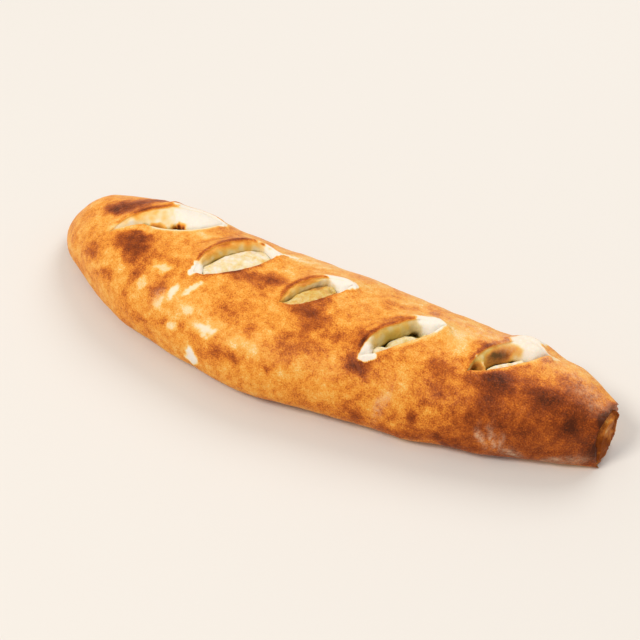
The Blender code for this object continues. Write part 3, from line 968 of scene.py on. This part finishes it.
# Browner and oily places on the cheese, measured as the crust's marks are, and painted shade where it lies
# deep
cheeseLook = {
    "plain": 0.12,
    "browned": (
        (9, -24, 47, 6, 4, 45, 0.45), (12, -32, 46, 20, 9, 45, 0.26), (-24, -18, 46, 5, 3, 40, 0.35),
        (184, -25, 31, 6, 5, -0.25), (184, -31, 24, 6, 3, -0.15), (-102, -15, 42, 3, 2, 30, 0.5),
        # the mark at -89 along paints shade in the first slit's pit; the one at 119 along is a dark brown
        # spot deep in the last slit
        (-89, -14, 40, 5, 4, 0.75), (119, -17, 34, 6, 4, 45, 0.5),
    ),
    "oily": ((12, -32, 46, 20, 9, 45, 0.25), (70, -42, 44, 22, 6, 50, 0.2), (-4, -42, 46, 6, 6, 45, 0.25)),
    # cheese turns olive the deeper it lies under the skin: partly oil, partly painted shade
    "olive": 0.7,
    "oliveFrom": (1, 6),
    "plug": 0.62,
    "plugFrom": (14, 6),
    # and darker the deeper it lies, away from the open end: painted shade
    "deep": 0.4,
    "deepFrom": (5, 12),
    "deepUntil": (-20, -40),
}


def bakeAndShadeCheese():
    places = placesOf(cheese)
    fromEnd = places[:, 0] - openEnd
    plug = smoothArray(*(-reach for reach in cheeseLook["plugFrom"]), fromEnd)
    bakeAndShade = cheeseLook["plain"] + cheeseLook["plug"] * plug + marked(places, cheeseLook["browned"])
    bakeAndShade *= leftBy(places, crustLook["paler"])
    # the depth under the skin, from which the painted shade is made
    depth = np.array([onTop(p[0], p[1])[0].z - p[2] for p in places])
    deep = smoothArray(*cheeseLook["deepFrom"], depth) * smoothArray(*cheeseLook["deepUntil"], fromEnd)
    olive = cheeseLook["olive"] * smoothArray(*cheeseLook["oliveFrom"], depth)
    olive += marked(places, cheeseLook["oily"])
    addValues(cheese, {"bakeAndShade": bakeAndShade + cheeseLook["deep"] * deep, "olive": olive * (1 - plug)})


bakeAndShadeCheese()


def linear(hexColour):
    channels = [int(hexColour[k:k + 2], 16) / 255 for k in (0, 2, 4)]
    return (*(c / 12.92 if c <= 0.04045 else ((c + 0.055) / 1.055) ** 2.4 for c in channels), 1)


def newMaterial(name):
    material = bpy.data.materials.new(name)
    material.use_nodes = True
    material.node_tree.nodes.clear()
    return material, material.node_tree


def addNode(tree, kind, links=None, stops=(), output=0, **settings):
    # adds a node with its settings, a ramp's colours and its sockets' links or values, and returns an output
    node = tree.nodes.new(kind)
    for name, value in settings.items():
        setattr(node, name, value)
    if stops:
        bands = node.color_ramp.elements
        while len(bands) < len(stops):
            bands.new(0.5)
        for band, (place, colour) in zip(bands, stops):
            band.position = place
            band.color = linear(colour)
    for socket, value in (links or {}).items():
        if isinstance(value, bpy.types.NodeSocket):
            tree.links.new(value, node.inputs[socket])
        else:
            node.inputs[socket].default_value = value
    return node.outputs[output] if node.outputs else None


def readValues(tree, look, names=()):
    # the values kept at each corner, and for each grain a noise whose lumps are about that many mm across
    read = {name: addNode(tree, "ShaderNodeAttribute", output="Fac", attribute_name=name) for name in names}
    place = addNode(tree, "ShaderNodeTexCoord", output="Object")
    for name, (size, detail, roughness) in look["grains"].items():
        links = {"Vector": place, "Scale": 1 / (size * mm), "Detail": detail, "Roughness": roughness}
        read[name] = addNode(tree, "ShaderNodeTexNoise", links)
    return read


def ranged(value, low, high, start=0, end=1):
    # the links that turn low to high into start to end, and no further
    return {"Value": value, "From Min": low, "From Max": high, "To Min": start, "To Max": end}


def bakedColour(tree, look, browned, olive):
    # the colour of the browning, which turns olive where oil has soaked in and dark olive where shade is
    # painted in the crevices
    plain = addNode(tree, "ShaderNodeValToRGB", {"Fac": browned}, look["colours"])
    oily = addNode(tree, "ShaderNodeValToRGB", {"Fac": olive}, look["olives"])
    share = addNode(tree, "ShaderNodeMapRange", ranged(olive, 0, look["oliveFrom"]))
    return addNode(tree, "ShaderNodeMix", {0: share, 6: plain, 7: oily}, output=2, data_type="RGBA")


def giveSurface(tree, look, colour, rough, shine, height):
    links = {"Strength": look["bump"], "Distance": look["bumpHeight"] * mm, "Height": height}
    bump = addNode(tree, "ShaderNodeBump", links)
    shader = addNode(tree, "ShaderNodeBsdfPrincipled", {
        "Base Color": colour, "Roughness": rough, "Specular IOR Level": shine, "Normal": bump,
        "Subsurface Weight": look["glow"], "Subsurface Scale": 1.0,
        "Subsurface Radius": [reach * mm for reach in look["glowReach"]],
    })
    addNode(tree, "ShaderNodeOutputMaterial", {"Surface": shader})


# Oven-baked pizza dough: a golden to chestnut skin, dry and finely blistered, white where it tore open late.
# Each grain has its size in mm, detail and roughness. A real crust's specks go down to a tenth of a mm, which
# is too fine to show, so the finest is drawn at 0.8 mm
doughSkin = {
    "colours": (
        (0.0, "E9E0D2"), (0.12, "EBD4A8"), (0.27, "E9B55E"), (0.43, "E59836"), (0.55, "D67F28"),
        (0.68, "B25A18"), (0.82, "84390A"), (1.0, "4C1D02"),
    ),
    # olive of oil, going dark from 0.8 on as painted shade in the crevices
    "olives": ((0.0, "C2AC5C"), (0.5, "A8923E"), (0.8, "6E5418"), (1.0, "3A2408")),
    "oliveFrom": 0.7,
    # the pale of flour dust, also the colour of the painted sheen along the far top
    "flourAndSheen": "E2C09E",
    "grains": {
        "blotches": (13, 2, 0.5), "mottle": (4.5, 2, 0.5), "speckle": (0.8, 2, 0.6), "glintFlecks": (1, 2, 0.7),
        "clumps": (2.6, 4, 0.75), "blisters": (2.6, 2, 0.5), "fine": (0.9, 2, 0.6),
    },
    "uneven": {"blotches": 0.12, "mottle": 0.13, "speckle": 0.17},
    # what the unevenness fades with: the value, from where to where, and the share left there
    "fades": (("bakeAndShade", 0.08, 0.4, 0, 1), ("bakeAndShade", 0.55, 0.8, 1, 0.6), ("crumb", 0, 0.5, 1, 0.25)),
    # how far the painted glints lighten dark skin
    "glintFlecks": 0.12,
    "heights": {"blisters": 0.7, "fine": 0.3},
    "bump": 0.6,
    "bumpHeight": 1.2,
    "roughness": 0.46,
    "shine": 0.15,
    "glow": 0.12,
    "glowReach": (4, 2, 1),
}


def makeDoughSkin():
    material, tree = newMaterial("bakedDough")
    read = readValues(tree, doughSkin, ("bakeAndShade", "crumb", "olive", "flourAndSheen"))
    uneven = height = 0
    for name, amount in doughSkin["uneven"].items():
        part = addNode(tree, "ShaderNodeMapRange", ranged(read[name], 0.25, 0.75, -amount, amount))
        uneven = addNode(tree, "ShaderNodeMath", {0: uneven, 1: part}, operation="ADD")
    for name, *limits in doughSkin["fades"]:
        share = addNode(tree, "ShaderNodeMapRange", ranged(read[name], *limits))
        uneven = addNode(tree, "ShaderNodeMath", {0: uneven, 1: share}, operation="MULTIPLY")
    browned = addNode(tree, "ShaderNodeMath", {0: read["bakeAndShade"], 1: uneven}, operation="ADD")
    # painted glints: pale flecks where the skin is dark, drawn as less browned
    glint = addNode(tree, "ShaderNodeMapRange", ranged(read["glintFlecks"], 0.52, 0.68))
    dark = addNode(tree, "ShaderNodeMapRange", ranged(read["bakeAndShade"], 0.5, 0.9, 0, doughSkin["glintFlecks"]))
    glint = addNode(tree, "ShaderNodeMath", {0: glint, 1: dark}, operation="MULTIPLY")
    browned = addNode(tree, "ShaderNodeMath", {0: browned, 1: glint}, operation="SUBTRACT", use_clamp=True)
    colour = bakedColour(tree, doughSkin, browned, read["olive"])
    # flour clings in clumps, and the same mask paints a pale sheen along the far top
    clumps = addNode(tree, "ShaderNodeMapRange", ranged(read["clumps"], 0.34, 0.7))
    links = {0: read["flourAndSheen"], 1: clumps}
    dust = addNode(tree, "ShaderNodeMath", links, operation="MULTIPLY", use_clamp=True)
    links = {0: dust, 6: colour, 7: linear(doughSkin["flourAndSheen"])}
    colour = addNode(tree, "ShaderNodeMix", links, output=2, data_type="RGBA")
    for name, share in doughSkin["heights"].items():
        links = {0: read[name], 1: share, 2: height}
        height = addNode(tree, "ShaderNodeMath", links, operation="MULTIPLY_ADD")
    giveSurface(tree, doughSkin, colour, doughSkin["roughness"], doughSkin["shine"], height)
    return material


# Mozzarella melted and set: cream, glossy with oil, olive with oil and painted shade in the crevices, and
# browned where it met the heat
meltedCheese = {
    "colours": (
        (0.0, "E8DECC"), (0.18, "E2CE9C"), (0.35, "DDB056"), (0.52, "C8782A"), (0.72, "8A420C"),
        (1.0, "4C1E04"),
    ),
    # olive of oil, going dark from 0.8 on as painted shade in the crevices
    "olives": ((0.0, "CDB868"), (0.5, "A8923E"), (0.8, "6A5016"), (1.0, "38240A")),
    "oliveFrom": 0.7,
    "grains": {"patches": (3.5, 4, 0.6), "lumps": (1.8, 3, 0.6)},
    "patches": 0.18,
    "dryFrom": (0.3, 0.7),
    "roughness": (0.3, 0.65),  # oily, and dried out by the heat
    "shine": (0.35, 0.06),
    "bump": 0.5,
    "bumpHeight": 1,
    "glow": 0.3,
    "glowReach": (4, 3, 1.5),
}


def makeMeltedCheese():
    material, tree = newMaterial("meltedMozzarella")
    read = readValues(tree, meltedCheese, ("bakeAndShade", "olive"))
    amount = meltedCheese["patches"]
    uneven = addNode(tree, "ShaderNodeMapRange", ranged(read["patches"], 0.25, 0.75, -amount, amount))
    browned = addNode(tree, "ShaderNodeMath", {0: read["bakeAndShade"], 1: uneven}, operation="ADD", use_clamp=True)
    colour = bakedColour(tree, meltedCheese, browned, read["olive"])
    dried = []
    for name in ("roughness", "shine"):
        links = ranged(read["bakeAndShade"], *meltedCheese["dryFrom"], *meltedCheese[name])
        dried.append(addNode(tree, "ShaderNodeMapRange", links))
    giveSurface(tree, meltedCheese, colour, *dried, read["lumps"])
    return material


pieceFinishes = (
    (crust, makeDoughSkin(), "crust", "baked_crust"),
    (cheese, makeMeltedCheese(), "cheese_filling", "baked_cheese"),
)
for piece, material, node, slot in pieceFinishes:
    piece.data.materials.clear()
    piece.data.materials.append(material)
    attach(piece, "root")
    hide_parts(node)
print("stage: materials")


# The setting: a floor of pale matt laminate, barely clouded, soft light, and the camera fitted to the photo
setting = {
    "floorSize": 18,
    "floorColours": ("D9D4CE", "DFDBD6"),
    "floorRoughness": 0.75,
    "grains": {"clouds": (90, 3, 0.5)},
    "cloudTones": (0.48, 0.52),
    "world": "FFFDFA",
    "worldStrength": 0.62,
    # name, place, size, power and colour of each light, all in metres and watts and aimed at the loaf
    "lights": (("key", (-1.1, -1.9, 2.6), 1.1, 64, "FFF9F0"), ("back", (0.3, 2.2, 2.3), 1.8, 40, "FFFDFA")),
    "sensor": 36,
    "focal": 1350,
    "frame": 640,
    "elevation": 40.63,
    "distance": 812.4,
    "roll": 1.7,
    "loafTurn": -27,
}


def makeFloor():
    mesh = bmesh.new()
    bmesh.ops.create_grid(mesh, x_segments=1, y_segments=1, size=setting["floorSize"] / 2)
    floor = addPiece("floor", mesh)
    material, tree = newMaterial("mattLaminate")
    links = ranged(readValues(tree, setting)["clouds"], 0.3, 0.7, *setting["cloudTones"])
    tone = addNode(tree, "ShaderNodeMapRange", links)
    dark, light = (linear(colour) for colour in setting["floorColours"])
    colour = addNode(tree, "ShaderNodeMix", {0: tone, 6: dark, 7: light}, output=2, data_type="RGBA")
    links = {"Base Color": colour, "Roughness": setting["floorRoughness"]}
    addNode(tree, "ShaderNodeOutputMaterial", {"Surface": addNode(tree, "ShaderNodeBsdfPrincipled", links)})
    floor.data.materials.append(material)


def makeLight(name, place, size, power, colour):
    data = bpy.data.lights.new(name, "AREA")
    data.shape = "DISK"
    data.size = size
    data.energy = power
    data.color = linear(colour)[:3]
    light = bpy.data.objects.new(name, data)
    bpy.context.scene.collection.objects.link(light)
    light.location = place
    light.rotation_euler = (-Vector(place)).to_track_quat("-Z", "Y").to_euler()


def makeWorld():
    world = bpy.data.worlds.new("studio")
    world.use_nodes = True
    back = world.node_tree.nodes["Background"]
    back.inputs["Color"].default_value = linear(setting["world"])
    back.inputs["Strength"].default_value = setting["worldStrength"]
    bpy.context.scene.world = world


def makeCamera():
    tilt, roll, turn = (radians(setting[k]) for k in ("elevation", "roll", "loafTurn"))
    place = Vector((0, -cos(tilt), sin(tilt))) * setting["distance"]
    ahead = -place.normalized()
    right = Vector((1, 0, 0))
    up = right.cross(ahead)
    sideways = right * cos(roll) + up * sin(roll)
    upright = up * cos(roll) - right * sin(roll)
    toLoaf = Matrix.Rotation(-turn, 3, "Z")
    data = bpy.data.cameras.new("camera")
    data.sensor_width = setting["sensor"]
    data.lens = setting["focal"] / setting["frame"] * data.sensor_width
    camera = bpy.data.objects.new("camera", data)
    bpy.context.scene.collection.objects.link(camera)
    turned = Matrix([toLoaf @ axis for axis in (sideways, upright, -ahead)]).transposed().to_4x4()
    camera.matrix_world = Matrix.Translation((toLoaf @ place - middle) * mm) @ turned
    bpy.context.scene.camera = camera


makeFloor()
makeWorld()
for light in setting["lights"]:
    makeLight(*light)
makeCamera()
bpy.context.scene.view_settings.view_transform = "Standard"
print("stage: setting")
